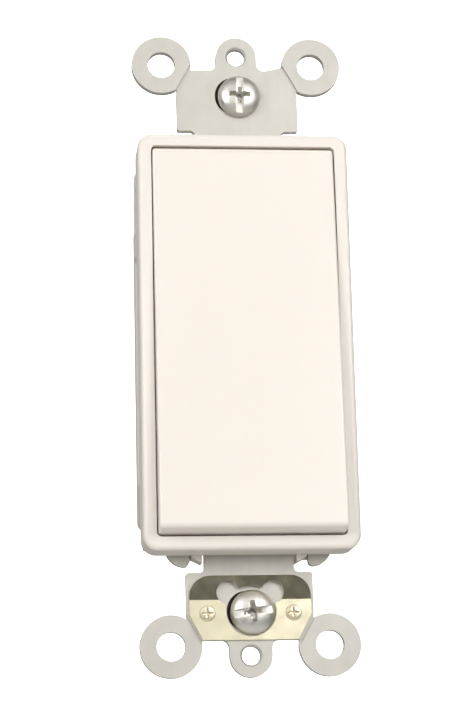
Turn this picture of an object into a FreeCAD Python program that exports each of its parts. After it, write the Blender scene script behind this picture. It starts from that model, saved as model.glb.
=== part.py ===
import FreeCAD, Part
import os
import re

import Sketcher

# Decorator-style rocker wall switch, single pole, on a galvanised mounting strap.
# X runs to the right, Z runs up, and the front faces -Y.
# The origin is the middle of the two box screws on the strap's rear (wall) face.

os.makedirs("parts", exist_ok=True)
doc = FreeCAD.newDocument("rocker_switch")

# Driving sizes in millimetres; *_half is measured from the middle, *_r is a radius.
SIZES = {
    # mounting strap, stamped from galvanised steel
    "strap_thick": 1.3,
    "plate_half": 12.9,
    "plate_reach": 34.8,
    "neck_half": 6.95,
    "notch_outer": 9.2,
    "notch_floor": 31.3,
    "tab_half": 9.8,
    "tab_inner": 35.7,
    "tab_outer": 46.06,
    "tongue_half": 3.3,
    "slope_end": 7.9,
    "plate_screw_z": 48.42,
    "plate_tap_r": 1.42,
    "box_screw_z": 41.67,
    "slot_half": 3.6,
    "slot_r": 3.1,
    "ear_x": 12.2,
    "ear_z": 46.9,
    "ear_r": 4.8,
    "ear_hole_r": 2.2,
    "score_deep": 0.3,
    "stem_gap_x": 5.0,
    "stem_gap_z": 7.0,
    # front frame
    "frame_half": 16.65,
    "frame_reach": 33.05,
    "frame_high": 6.4,
    "window_half": 14.55,
    "window_reach": 31.0,
    "ledge_half": 11.6,
    "ledge_reach": 29.0,
    "ledge_thick": 0.8,
    # rocker and its side trunnions
    "pivot_y": -4.0,
    "rocker_half": 14.35,
    "rocker_r": 30.85,
    "rocker_face": 5.25,
    "rocker_deep": 4.95,
    "rocker_wall": 1.6,
    "rocker_end_round": 0.9,
    "rocker_side_round": 0.45,
    "trunnion_r": 1.5,
    "trunnion_end": 15.7,
    "running_gap": 0.06,
    "stem_half": 2.4,
    "stem_end": 7.2,
    "stem_bore_r": 1.35,
    "rest_tilt": 3.2,
    # housing behind the strap
    "body_half": 15.7,
    "body_reach": 26.0,
    "cover_thick": 1.6,
    "body_rear": 23.0,
    "cover_reach": 30.3,
    "lug_half": 16.8,
    "lug_low": 14.6,
    "lug_rear": 2.7,
    "floor_y": 21.0,
    "chamber_half": 8.0,
    "chamber_reach": 21.0,
    "rivet_x": 9.3,
    "rivet_z": 22.9,
    "rivet_r": 1.2,
    # push-in wire entries
    "push_x": 10.4,
    "push_z": 18.4,
    "push_r": 1.3,
    "push_floor": 4.0,
    # contact mechanism
    "swing_y": 13.4,
    "swing_tilt": 10.4,
    "pin_r": 0.9,
    "swing_half": 2.6,
    "arm_thick": 0.8,
    "arm_reach": 13.2,
    "contact_z": 11.3,
    "contact_r": 1.6,
    "metal": 1.0,
    # side terminals
    "terminal_x": 12.0,
    "terminal_y": 10.0,
    "terminal_z": 11.0,
    "terminal_r": 2.05,
    "terminal_head_r": 3.6,
    # screws and small hardware
    "screw_r": 1.75,
    "screw_shift": 0.3,
    "screw_drop": 0.2,
    "screw_head_r": 3.45,
    "screw_head_high": 2.0,
    "screw_long": 20.0,
    "retainer_half": 4.1,
    "retainer_thick": 0.4,
    "clip_thick": 0.4,
    "clip_lean": 0.75,
    "clip_bend_z": -39.84,
    "clip_top_z": -36.2,
    "clip_bottom_z": -46.05,
    "clip_half": 9.35,
    "clip_slant_x": 6.8,
    "clip_slant_z": -42.1,
    "clip_top_round": 3.2,
    "clip_eye_x": 0.1,
    "clip_eye_r": 3.9,
    "clip_ear_x": 3.45,
    "clip_ear_z": -38.8,
    "clip_ear_r": 1.75,
    "clip_eye_z": -41.65,
    "stake_x": 6.62,
    "stake_z": -42.0,
    "stake_r": 1.25,
    "stake_high": 0.75,
    "ground_x": 13.9,
    "ground_y": 6.0,
    "ground_z": -28.9,
    "ground_half": 2.6,
    "ground_r": 1.6,
    "ground_head_r": 2.9,
}

sheet = doc.addObject("Spreadsheet::Sheet", "Sizes")
for row, (word, size) in enumerate(SIZES.items(), start=1):
    sheet.set("A%d" % row, word)
    sheet.set("B%d" % row, str(size))
    sheet.setAlias("B%d" % row, word)
doc.recompute()

STRAP_FRONT = "-strap_thick"
FRAME_FACE = "-strap_thick - frame_high"
ROCKER_FACE = "pivot_y - rocker_face"
ROCKER_REAR = "pivot_y - rocker_face + rocker_deep"


# ---------------------------------------------------------------- helpers


def bound(text):
    """Point every size word of a formula at the sheet."""

    def point(found):
        word = found.group()
        return "Sizes." + word if word in SIZES else word

    return re.sub(r"[A-Za-z_]\w*", point, text)


def number(text):
    return float(sheet.evalExpression(bound(text)))


def minus(text):
    return "-(" + text + ")"


def rect(left, low, right, high):
    return [(left, low), (right, low), (right, high), (left, high)]


def mirrored(outline):
    """The same outline on the other side of the vertical axis."""
    return [(minus(a), b) for a, b in outline]


def disc(across, up, radius):
    return {"across": across, "up": up, "radius": radius}


def locate(sketch, index, point, across, up):
    """Fix one point of a sketch at the two given distances from its origin."""
    for kind, axis, text in (("DistanceX", -2, across), ("DistanceY", -1, up)):
        size = number(text)
        if abs(size) < 1e-9:
            sketch.addConstraint(Sketcher.Constraint("PointOnObject", index, point, axis))
            continue
        place = sketch.addConstraint(Sketcher.Constraint(kind, -1, 1, index, point, size))
        sketch.setExpression("Constraints[%d]" % place, bound(text))


def draw(sketch, outline):
    """Draw one closed polygon or one circle, every size tied to the sheet."""
    first = sketch.GeometryCount
    if isinstance(outline, dict):
        middle = FreeCAD.Vector(number(outline["across"]), number(outline["up"]), 0)
        circle = Part.Circle(middle, FreeCAD.Vector(0, 0, 1), number(outline["radius"]))
        sketch.addGeometry(circle, False)
        place = sketch.addConstraint(Sketcher.Constraint("Radius", first, number(outline["radius"])))
        sketch.setExpression("Constraints[%d]" % place, bound(outline["radius"]))
        locate(sketch, first, 3, outline["across"], outline["up"])
        return
    corners = [FreeCAD.Vector(number(a), number(b), 0) for a, b in outline]
    count = len(corners)
    for i in range(count):
        sketch.addGeometry(Part.LineSegment(corners[i], corners[(i + 1) % count]), False)
    for i in range(count):
        after = first + (i + 1) % count
        sketch.addConstraint(Sketcher.Constraint("Coincident", first + i, 2, after, 1))
    for i, (across, up) in enumerate(outline):
        locate(sketch, first + i, 1, across, up)


# Plane normal to each axis, and whether its sketches look along or against that axis.
PLANES = {"x": ("YZ_Plane", 1), "y": ("XZ_Plane", -1), "z": ("XY_Plane", 1)}


def sketch_on(body, name, axis, at):
    """A sketch square to the axis, at the given distance along it."""
    role, sense = PLANES[axis]
    sketch = body.newObject("Sketcher::SketchObject", name + "_sketch")
    plane = [part for part in body.Origin.OriginFeatures if part.Role == role][0]
    sketch.AttachmentSupport = [(plane, "")]
    sketch.MapMode = "FlatFace"
    sketch.setExpression("AttachmentOffset.Base.z", bound(at if sense > 0 else minus(at)))
    return sketch


def add(body, name, axis, low, high, *outlines):
    """Pad the outlines between two distances along the axis."""
    start = low if PLANES[axis][1] > 0 else high
    sketch = sketch_on(body, name, axis, start)
    for outline in outlines:
        draw(sketch, outline)
    pad = body.newObject("PartDesign::Pad", name)
    pad.Profile = sketch
    pad.setExpression("Length", bound("(" + high + ") - (" + low + ")"))
    doc.recompute()
    return pad


def remove(body, name, axis, low, high, *outlines):
    """Pocket the outlines between two distances along the axis."""
    start = high if PLANES[axis][1] > 0 else low
    before = body.Shape.Volume
    sketch = sketch_on(body, name, axis, start)
    for outline in outlines:
        draw(sketch, outline)
    pocket = body.newObject("PartDesign::Pocket", name)
    pocket.Profile = sketch
    pocket.setExpression("Length", bound("(" + high + ") - (" + low + ")"))
    doc.recompute()
    if body.Shape.Volume > before - 1e-6:
        raise RuntimeError(name + " cuts nothing")
    return pocket


def along(edge, axis):
    """Whether an edge is straight and parallel to the axis."""
    if edge.Curve.TypeId != "Part::GeomLine":
        return False
    direction = edge.Vertexes[-1].Point - edge.Vertexes[0].Point
    direction.normalize()
    return abs(abs(getattr(direction, axis)) - 1) < 1e-4


def soften(body, name, radius, test, kind="PartDesign::Fillet"):
    """Round (or chamfer) every edge the test picks."""
    shaped = body.Tip
    chosen = ["Edge%d" % (i + 1) for i, edge in enumerate(shaped.Shape.Edges) if test(edge)]
    if not chosen:
        raise RuntimeError(name + " finds no edges")
    round_off = body.newObject(kind, name)
    round_off.Base = (shaped, chosen)
    round_off.setExpression("Radius" if kind.endswith("Fillet") else "Size", bound(radius))
    doc.recompute()
    if "Invalid" in round_off.State or round_off.Shape.isNull():
        raise RuntimeError(name + " cannot be rounded")
    return round_off


def upright_at(across, up):
    """A test for edges along Y that stand at (+-across, +-up)."""
    side, height = number(across), number(up)

    def test(edge):
        if not along(edge, "y"):
            return False
        spot = edge.CenterOfMass
        return abs(abs(spot.x) - side) < 0.01 and abs(abs(spot.z) - height) < 0.01

    return test


def tilt(part, angle, centre_y):
    """Turn a part about the X line through y = centre_y, z = 0."""
    turn = FreeCAD.Rotation(FreeCAD.Vector(1, 0, 0), angle)
    middle = FreeCAD.Vector(0, centre_y, 0)
    part.Placement = FreeCAD.Placement(middle - turn.multVec(middle), turn)


def size_block(block, corner, spans):
    for word, text in zip(("Length", "Width", "Height"), spans):
        block.setExpression(word, bound(text))
    for word, text in zip("xyz", corner):
        block.setExpression("Placement.Base." + word, bound(text))
    return block


def box(name, low, high):
    """A Part box between two corners."""
    spans = ["(" + b + ") - (" + a + ")" for a, b in zip(low, high)]
    return size_block(doc.addObject("Part::Box", name), low, spans)


TURNS = {
    "x": FreeCAD.Rotation(FreeCAD.Vector(0, 1, 0), 90),
    "y": FreeCAD.Rotation(FreeCAD.Vector(1, 0, 0), -90),
    "z": FreeCAD.Rotation(),
}


def place_round(solid, start, axis):
    solid.Placement = FreeCAD.Placement(FreeCAD.Vector(), TURNS[axis])
    for word, text in zip("xyz", start):
        solid.setExpression("Placement.Base." + word, bound(text))
    return solid


def rod(name, start, axis, length, radius):
    """A Part cylinder from its start point along the axis."""
    solid = doc.addObject("Part::Cylinder", name)
    solid.setExpression("Radius", bound(radius))
    solid.setExpression("Height", bound(length))
    return place_round(solid, start, axis)


def cone(name, start, axis, length, radius, end_radius):
    solid = doc.addObject("Part::Cone", name)
    solid.setExpression("Radius1", bound(radius))
    solid.setExpression("Radius2", bound(end_radius))
    solid.setExpression("Height", bound(length))
    return place_round(solid, start, axis)


def joined(name, pieces):
    union = doc.addObject("Part::MultiFuse", name)
    union.Shapes = pieces
    union.Refine = True
    return union


def group(name, pieces):
    """Several separate solids under one name."""
    bundle = doc.addObject("Part::Compound", name)
    bundle.Links = pieces
    return bundle


def less(name, base, tools):
    """The base with every tool cut out of it."""
    difference = doc.addObject("Part::Cut", name)
    difference.Base = base
    difference.Tool = tools[0] if len(tools) == 1 else joined(name + "_tools", tools)
    difference.Refine = True
    return difference


def new_body(name):
    return doc.addObject("PartDesign::Body", name)


BOTH = (("", "upper"), ("-", "lower"))


def both_ends(outline):
    """An outline and its twin at the other end of the strap."""
    if isinstance(outline, dict):
        return [outline, disc(outline["across"], minus(outline["up"]), outline["radius"])]
    return [outline, [(a, minus(b)) for a, b in outline]]


def four(across, up, radius):
    """Four discs, one in each quarter."""
    return [disc(s + across, t + up, radius) for s in ("", "-") for t in ("", "-")]


# ---------------------------------------------------------------- strap


def score_line(side, end):
    """The narrow break-off groove where an ear meets its tab."""
    start = (7.2, 46.75)
    stop = (9.98, 41.7)
    wide = 0.42
    shifted = [(x + wide, z + wide / 2) for x, z in (stop, start)]
    return [(str(side * x), str(end * z)) for x, z in [start, stop] + shifted]


def tapped_rim(edge, face):
    """The front rim of a tapped hole."""
    if edge.Curve.TypeId != "Part::GeomCircle":
        return False
    same_size = abs(edge.Curve.Radius - number("plate_tap_r")) < 1e-4
    return same_size and abs(edge.CenterOfMass.y - face) < 1e-4


def make_strap():
    strap = new_body("mounting_strap")
    front, rear = STRAP_FRONT, "0"
    plate = rect("-plate_half", "-plate_reach", "plate_half", "plate_reach")
    add(strap, "plate", "y", front, rear, plate)
    soften(strap, "lobe_corners", "3", upright_at("plate_half", "plate_reach"))
    notch = rect("neck_half", "notch_floor", "notch_outer", "plate_reach + 1")
    remove(strap, "notches", "y", front, rear, *both_ends(notch), *both_ends(mirrored(notch)))
    soften(strap, "lobe_insides", "0.8", upright_at("notch_outer", "plate_reach"))
    neck = rect("-neck_half", "notch_floor", "neck_half", "tab_inner + 1")
    add(strap, "necks", "y", front, rear, *both_ends(neck))
    tab = rect("-tab_half", "tab_inner", "tab_half", "tab_outer")
    add(strap, "tabs", "y", front, rear, *both_ends(tab))
    tongue = rect("-tongue_half", "tab_outer - 1", "tongue_half", "plate_screw_z")
    add(strap, "tongues", "y", front, rear, *both_ends(tongue))
    add(strap, "tongue_ends", "y", front, rear, *both_ends(disc("0", "plate_screw_z", "tongue_half")))
    add(strap, "ears", "y", front, rear, *four("ear_x", "ear_z", "ear_r"))
    slope = [
        ("tongue_half + 1.4", "tab_outer - 0.5"),
        ("slope_end", "tab_outer - 0.5"),
        ("slope_end", "tab_outer + 0.72"),
        ("tongue_half + 1.4", "tab_outer"),
    ]
    add(strap, "upper_right_slope", "y", front, rear, slope)
    soften(strap, "tongue_roots", "1.2", upright_at("tongue_half", "tab_outer"))
    soften(strap, "neck_roots", "0.8", upright_at("neck_half", "tab_inner"))
    soften(strap, "shoulders", "0.4", upright_at("tab_half", "tab_inner"))
    slot = rect("-slot_half", "box_screw_z - slot_r", "slot_half", "box_screw_z + slot_r")
    remove(strap, "box_slots", "y", front, rear, *both_ends(slot))
    soften(strap, "slot_ends", "slot_r - 0.1", upright_at("slot_half", "box_screw_z - slot_r"))
    soften(strap, "slot_tops", "slot_r - 0.1", upright_at("slot_half", "box_screw_z + slot_r"))
    remove(strap, "plate_taps", "y", front, rear, *both_ends(disc("0", "plate_screw_z", "plate_tap_r")))
    face = number(STRAP_FRONT)
    soften(strap, "tap_leads", "0.3", lambda e: tapped_rim(e, face), "PartDesign::Chamfer")
    remove(strap, "ear_holes", "y", front, rear, *four("ear_x", "ear_z", "ear_hole_r"))
    opening = rect("-stem_gap_x", "-stem_gap_z", "stem_gap_x", "stem_gap_z")
    remove(strap, "stem_opening", "y", front, rear, opening)
    remove(strap, "rivet_holes", "y", front, rear, *four("rivet_x", "rivet_z", "rivet_r"))
    scores = [score_line(side, end) for side in (1, -1) for end in (1, -1)]
    remove(strap, "front_scores", "y", front, "-strap_thick + score_deep", *scores)
    remove(strap, "rear_scores", "y", "-score_deep", rear, *scores)
    # one side of the lower edge is bent back to carry the grounding screw
    bridge = rect("-ground_x", "ground_z - ground_half", "-plate_half + 0.5", "ground_z + ground_half")
    add(strap, "ground_bridge", "y", front, rear, bridge)
    tab_side = rect("-0.2", "ground_z - ground_half", "ground_y + 3.2", "ground_z + ground_half")
    add(strap, "ground_tab", "x", "-ground_x", "-ground_x + strap_thick", tab_side)
    tap = disc("ground_y", "ground_z", "ground_r + 0.02")
    remove(strap, "ground_tap", "x", "-ground_x", "-ground_x + strap_thick", tap)
    return strap


# ---------------------------------------------------------------- front frame


def make_frame():
    frame = new_body("front_frame")
    outer = rect("-frame_half", "-frame_reach", "frame_half", "frame_reach")
    add(frame, "rim", "y", FRAME_FACE, STRAP_FRONT, outer)
    soften(frame, "rim_corners", "2.3", upright_at("frame_half", "frame_reach"))
    face = number(FRAME_FACE)
    soften(frame, "rim_face", "0.8", lambda e: abs(e.BoundBox.YMax - face) < 1e-4)
    window = rect("-window_half", "-window_reach", "window_half", "window_reach")
    ledge_top = "-strap_thick - ledge_thick"
    remove(frame, "window", "y", FRAME_FACE, ledge_top, window)
    soften(frame, "window_corners", "0.8", upright_at("window_half", "window_reach"))
    inner = rect("-ledge_half", "-ledge_reach", "ledge_half", "ledge_reach")
    remove(frame, "ledge_opening", "y", ledge_top, STRAP_FRONT, inner)
    relief = rect("ledge_half - 0.5", "-3.4", "window_half", "3.4")
    remove(frame, "trunnion_reliefs", "y", ledge_top, STRAP_FRONT, relief, mirrored(relief))
    socket = disc("pivot_y", "0", "trunnion_r + running_gap")
    remove(frame, "right_socket", "x", "window_half - 0.1", "trunnion_end + 0.2", socket)
    remove(frame, "left_socket", "x", "-trunnion_end - 0.2", "-window_half + 0.1", socket)
    # four latch legs pass the strap's notches and hook behind its lobes
    inner = "window_reach + 0.7"
    leg = [("7.3", inner), ("8.9", inner), ("8.9", "33.4"), ("7.3", "34.3")]
    legs = both_ends(leg) + both_ends(mirrored(leg))
    add(frame, "latch_legs", "y", "-strap_thick - 0.9", "1.5", *legs)
    barb = rect("8.5", inner, "10.4", "33.6")
    barbs = both_ends(barb) + both_ends(mirrored(barb))
    add(frame, "latch_barbs", "y", "0.05", "1.5", *barbs)
    return frame


# ---------------------------------------------------------------- rocker


def make_rocker():
    rocker = new_body("rocker_paddle")
    half = "rocker_half"
    add(rocker, "blank", "x", "-rocker_half", half, disc("pivot_y", "0", "rocker_r"))
    ahead = rect("pivot_y - 50", "-50", ROCKER_FACE, "50")
    behind = rect(ROCKER_REAR, "-50", "pivot_y + 50", "50")
    remove(rocker, "slab", "x", "-rocker_half - 1", "rocker_half + 1", ahead, behind)
    soften(rocker, "end_edges", "rocker_end_round", rocker_end)
    soften(rocker, "side_edges", "rocker_side_round", rocker_side)
    # hollow underside, left with a rib each side of the middle and one near each end
    skin = ROCKER_FACE + " + rocker_wall"
    inside = "rocker_half - rocker_wall"
    cells = [("4.2", "13.6"), ("15.0", "23.2"), ("24.8", "28.6")]
    for count, (low, high) in enumerate(cells, start=1):
        cell = rect(minus(inside), low, inside, high)
        remove(rocker, "cells_%d" % count, "y", skin, ROCKER_REAR, *both_ends(cell))
    for sign, side in (("", "right"), ("-", "left")):
        outer_end = sign + "(trunnion_end)"
        lug_end = sign + "(rocker_half)"
        root = sign + "(rocker_half - 2)"
        lug = disc("pivot_y", "0", "trunnion_r + 0.6")
        pin = disc("pivot_y", "0", "trunnion_r")
        order = (root, lug_end) if sign == "" else (lug_end, root)
        add(rocker, side + "_lug", "x", order[0], order[1], lug)
        order = (root, outer_end) if sign == "" else (outer_end, root)
        add(rocker, side + "_trunnion", "x", order[0], order[1], pin)
    stem = rect("-stem_half", "-stem_half", "stem_half", "stem_half")
    add(rocker, "stem", "y", skin, "stem_end", stem)
    remove(rocker, "spring_bore", "y", "-3.2", "stem_end", disc("0", "0", "stem_bore_r"))
    tilt(rocker, -SIZES["rest_tilt"], SIZES["pivot_y"])
    return rocker


def rocker_end(edge):
    """The two long edges across the top and the bottom of the front face."""
    in_front = edge.BoundBox.YMax < number(ROCKER_FACE) + 1e-4
    return in_front and along(edge, "x") and edge.Length > number("rocker_half")


def rocker_side(edge):
    """The edges round the front and the ends of each side face, but not those at the rear."""
    flat = edge.BoundBox.XLength < 0.01
    wide = abs(abs(edge.CenterOfMass.x) - number("rocker_half")) < 0.02
    return flat and wide and edge.BoundBox.YMin < number(ROCKER_REAR) - 0.5


def coil(name, radius, wire_r, start_y, length, turns):
    """A round-wire compression spring along Y."""
    helix = Part.makeHelix(length / turns, length, radius)
    helix.rotate(FreeCAD.Vector(), FreeCAD.Vector(1, 0, 0), -90)
    helix.translate(FreeCAD.Vector(0, start_y, 0))
    first = helix.Edges[0]
    ring = Part.makeCircle(wire_r, helix.Vertexes[0].Point, first.tangentAt(first.FirstParameter))
    solid = Part.Wire(helix.Edges).makePipeShell([Part.Wire(ring)], True, True)
    part = doc.addObject("Part::Feature", name)
    part.Shape = solid
    return part


def make_spring():
    radius = number("stem_bore_r - 0.4")
    spring = coil("toggle_spring", radius, 0.2, -2.9, 6.6, 7)
    tilt(spring, -SIZES["rest_tilt"], SIZES["pivot_y"])
    return spring


def make_plunger():
    seat = rod("plunger_seat", ("0", "4.0", "0"), "y", "3", "stem_bore_r - 0.03")
    nose = rod("plunger_nose", ("0", "6.9", "0"), "y", "2.5", "0.9")
    tip = doc.addObject("Part::Sphere", "plunger_tip")
    tip.Radius = 0.9
    tip.Placement.Base = FreeCAD.Vector(0, 9.4, 0)
    plunger = joined("spring_plunger", [seat, nose, tip])
    tilt(plunger, -SIZES["rest_tilt"], SIZES["pivot_y"])
    return plunger


# ---------------------------------------------------------------- housing


def make_cover():
    cover = new_body("housing_cover")
    outline = rect("-body_half", "-cover_reach", "body_half", "cover_reach")
    add(cover, "sheet", "y", "0", "cover_thick", outline)
    rail = rect("plate_half + 0.3", "-cover_reach", "body_half", "cover_reach")
    add(cover, "side_rails", "y", STRAP_FRONT, "0", rail, mirrored(rail))
    soften(cover, "corners", "1.6", upright_at("body_half", "cover_reach"))
    lug = rect("body_half - 1", "lug_low", "lug_half", "cover_reach - 2")
    add(cover, "side_lugs", "y", "-strap_thick + 0.3", "cover_thick", lug, mirrored(lug))
    corner_side = "-ground_x + strap_thick + 0.3"
    corner = rect("-body_half - 1", "-cover_reach - 1", corner_side, "ground_z + ground_half + 0.4")
    remove(cover, "ground_corner", "y", STRAP_FRONT, "cover_thick", corner)
    opening = rect("-stem_gap_x", "-stem_gap_z", "stem_gap_x", "stem_gap_z")
    remove(cover, "stem_opening", "y", "0", "cover_thick", opening)
    remove(cover, "rivet_holes", "y", "0", "cover_thick", *four("rivet_x", "rivet_z", "rivet_r"))
    return cover


def make_base():
    base = new_body("housing_base")
    outline = rect("-body_half", "-body_reach", "body_half", "body_reach")
    add(base, "block", "y", "cover_thick", "body_rear", outline)
    soften(base, "corners", "1.6", upright_at("body_half", "body_reach"))
    rear = number("body_rear")
    soften(base, "rear_edges", "1.2", lambda e: abs(e.BoundBox.YMin - rear) < 1e-4)
    chamber = rect("-chamber_half", "-chamber_reach", "chamber_half", "chamber_reach")
    remove(base, "chamber", "y", "cover_thick", "floor_y", chamber)
    # a blind pocket keeps the wall on the screwless side even
    pocket = rect("-body_half + 1.8", "-chamber_reach", "-chamber_half - 1.6", "chamber_reach")
    remove(base, "side_pocket", "y", "cover_thick", "floor_y - 2", pocket)
    remove(base, "rivet_holes", "y", "cover_thick", "body_rear", *four("rivet_x", "rivet_z", "rivet_r"))
    # terminal recesses open to the side, with a slot inwards for each terminal
    line_bay = rect("4.2", "terminal_z - 4.8", "16", "terminal_z + 4.8")
    load_bay = rect("4.2", "-terminal_z - 4.8", "16", "-terminal_z + 4.8")
    bay_floor = "terminal_x - 0.02"
    remove(base, "terminal_bays", "x", bay_floor, "body_half", line_bay, load_bay)
    screw_room = disc("terminal_y", "terminal_z", "terminal_r + 0.5")
    screw_room_2 = disc("terminal_y", "-terminal_z", "terminal_r + 0.5")
    remove(base, "screw_rooms", "x", "chamber_half + 1", "terminal_x", screw_room, screw_room_2)
    line_slot = rect("chamber_half - 0.5", "-2.5", "terminal_x + metal + 0.05", "2.5")
    slot_end = "terminal_x + metal + 0.05"
    load_slot = rect("chamber_half - 0.5", "-contact_z - 2.3", slot_end, "-contact_z + 2.3")
    remove(base, "terminal_slots", "y", "cover_thick", "floor_y", line_slot, load_slot)
    # push-in wire entries: a bore and a release slot at the rear, with a clamp chamber behind them
    chambers = rect("push_x - 1.9", "push_z - 1.9", "push_x + 2.9", "push_z + 1.9")
    remove(base, "push_chambers", "y", "cover_thick", "body_rear - push_floor", *both_ends(chambers))
    bores = both_ends(disc("push_x", "push_z", "push_r"))
    remove(base, "push_bores", "y", "body_rear - push_floor - 1", "body_rear", *bores)
    release = rect("push_x + 1.8", "push_z - 1.5", "push_x + 2.8", "push_z + 1.5")
    remove(base, "release_slots", "y", "body_rear - push_floor - 1", "body_rear", *both_ends(release))
    # moulded strip gauge: a groove as long as the bare wire should be
    gauge = rect("-9", "-7", "-6.6", "5.7")
    remove(base, "strip_gauge", "y", "body_rear - 0.6", "body_rear", gauge)
    # shallow panel on the screwless side
    panel = rect("5", "-19", "18", "19")
    remove(base, "side_panel", "x", "-body_half", "-body_half + 0.5", panel)
    near_x, far_x = "terminal_x - 0.02", "terminal_x + metal + 0.05"
    line_riser = rect(near_x, "-2.5", far_x, "terminal_z + 4.8")
    remove(base, "line_riser", "y", "cover_thick", "floor_y", line_riser)
    load_riser = rect(near_x, "-terminal_z - 4.8", far_x, "-terminal_z + 4.8")
    remove(base, "load_riser", "y", "cover_thick", "floor_y", load_riser)
    return base


def make_rivets():
    pieces = []
    for count, (side, end) in enumerate([(s, t) for s in ("", "-") for t in ("", "-")], start=1):
        at_x, at_z = side + "rivet_x", end + "rivet_z"
        name = "rivet_%d" % count
        shank_start = (at_x, STRAP_FRONT, at_z)
        shank = rod(name + "_shank", shank_start, "y", "body_rear + strap_thick", "rivet_r")
        head = rod(name + "_head", (at_x, "-strap_thick - 0.6", at_z), "y", "0.6", "rivet_r + 0.9")
        foot = rod(name + "_foot", (at_x, "body_rear", at_z), "y", "0.5", "rivet_r + 0.8")
        hollow = rod(name + "_hollow", (at_x, "body_rear - 2.5", at_z), "y", "3.2", "rivet_r - 0.4")
        pieces.append(less(name, joined(name + "_solid", [shank, head, foot]), [hollow]))
    return group("housing_rivets", pieces)


# ---------------------------------------------------------------- contacts


def make_line_terminal():
    far_x = "terminal_x + metal"
    plate = box("line_plate", ("terminal_x", "4.6", "-2.3"), (far_x, "floor_y", "terminal_z + 4.5"))
    foot = box("line_foot", ("-4.5", "floor_y - metal", "-2.3"), (far_x, "floor_y", "2.3"))
    pieces = [plate, foot]
    for count, side in enumerate(("3.5", "-4.5"), start=1):
        leg = box("line_leg_%d" % count, (side, "swing_y", "-2.3"), (side + " + 1", "floor_y", "2.3"))
        eye = rod("line_eye_%d" % count, (side, "swing_y", "0"), "x", "1", "2.3")
        pieces += [leg, eye]
    swing = rod("line_swing_hole", ("-6", "swing_y", "0"), "x", "12", "pin_r + running_gap")
    tap = rod("line_tap", ("terminal_x - 1", "terminal_y", "terminal_z"), "x", "4", "terminal_r + 0.02")
    return less("line_terminal", joined("line_solid", pieces), [swing, tap])


def make_load_terminal():
    low, high = "-terminal_z - 4.5", "-terminal_z + 4.5"
    plate = box("load_plate", ("terminal_x", "4.6", low), ("terminal_x + metal", "floor_y", high))
    foot_low = ("-2.1", "floor_y - metal", "-contact_z - 2.1")
    foot_high = ("terminal_x + metal", "floor_y", "-contact_z + 2.1")
    foot = box("load_foot", foot_low, foot_high)
    tap_start = ("terminal_x - 1", "terminal_y", "-terminal_z")
    tap = rod("load_tap", tap_start, "x", "4", "terminal_r + 0.02")
    return less("load_terminal", joined("load_solid", [plate, foot]), [tap])


def make_push_in_clamps():
    """A bent spring leaf beside each wire bore."""
    pieces = []
    for sign, word in BOTH:
        low = ("push_x + 2", "8", sign + "push_z - 1.5")
        high = ("push_x + 2.4", "18", sign + "push_z + 1.5")
        clamp = box("push_foot_" + word, low, high)
        leaf = box("push_leaf_" + word, ("0", "0", "-1.5"), ("0.4", "5.6", "1.5"))
        turn = FreeCAD.Rotation(FreeCAD.Vector(0, 0, 1), 35)
        leaf.Placement.Rotation = turn
        for axis_word, text in zip("xyz", ("push_x + 2.05", "8.2", sign + "push_z - 1.5")):
            leaf.setExpression("Placement.Base." + axis_word, bound(text))
        pieces.append(joined("push_clamp_" + word, [clamp, leaf]))
    return group("push_in_clamps", pieces)


def make_fixed_contact():
    at = ("0", "floor_y - metal - 0.7", "-contact_z")
    return rod("fixed_contact", at, "y", "0.7", "contact_r")


def make_cradle():
    hub = rod("cradle_hub", ("-swing_half", "swing_y", "0"), "x", "2 * swing_half", "2.5")
    post_low = ("-swing_half", "swing_y - 5.2", "-2.5")
    post = box("cradle_post", post_low, ("swing_half", "swing_y", "2.5"))
    notch = box("cradle_notch", ("-4", "swing_y - 6", "-1.4"), ("4", "swing_y - 2.8", "1.4"))
    hole = rod("cradle_hole", ("-4", "swing_y", "0"), "x", "8", "pin_r")
    flat = box("cradle_flat", ("-4", "swing_y + 1.8", "-4"), ("4", "swing_y + 5", "4"))
    cradle = less("contact_cradle", joined("cradle_solid", [hub, post]), [notch, hole, flat])
    tilt(cradle, SIZES["swing_tilt"], SIZES["swing_y"])
    return cradle


def make_arm():
    top = "swing_y + 1.8"
    blade_low = ("-swing_half", top, "-arm_reach")
    blade = box("arm_blade", blade_low, ("swing_half", top + " + arm_thick", "2.4"))
    pieces = [blade]
    for count, side in enumerate(("swing_half + 0.05", "-swing_half - 0.65"), start=1):
        cheek = rod("arm_cheek_%d" % count, (side, "swing_y", "0"), "x", "0.6", "1.9")
        leg_low = (side, "swing_y", "-1.9")
        leg = box("arm_leg_%d" % count, leg_low, (side + " + 0.6", top + " + arm_thick", "1.9"))
        web_low = ("-swing_half - 0.65", top, "-1.9")
        web = box("arm_web_%d" % count, web_low, ("swing_half + 0.65", top + " + arm_thick", "1.9"))
        pieces += [cheek, leg, web]
    hole = rod("arm_hole", ("-5", "swing_y", "0"), "x", "10", "pin_r")
    arm = less("contact_arm", joined("arm_solid", pieces), [hole])
    tilt(arm, SIZES["swing_tilt"], SIZES["swing_y"])
    return arm


def make_moving_contact():
    start = ("0", "swing_y + 1.8 + arm_thick", "-contact_z - 0.4")
    contact = cone("moving_contact", start, "y", "0.7", "contact_r", "contact_r - 0.5")
    tip = doc.getObject("moving_contact")
    holder = joined("moving_contact_tip", [tip, rod("contact_rivet", start, "y", "0.3", "contact_r")])
    tilt(holder, SIZES["swing_tilt"], SIZES["swing_y"])
    return holder


def make_pin():
    pin = rod("pivot_pin", ("-4.8", "swing_y", "0"), "x", "9.6", "pin_r")
    return pin


def make_bumpers():
    pieces = []
    for sign, word in BOTH:
        low, high = sign + "24 - 1.6", sign + "24 + 1.6"
        pad = box("bumper_" + word, ("-3.5", "-strap_thick - 1.3", low), ("3.5", STRAP_FRONT, high))
        pieces.append(pad)
    return group("stop_bumpers", pieces)


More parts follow.
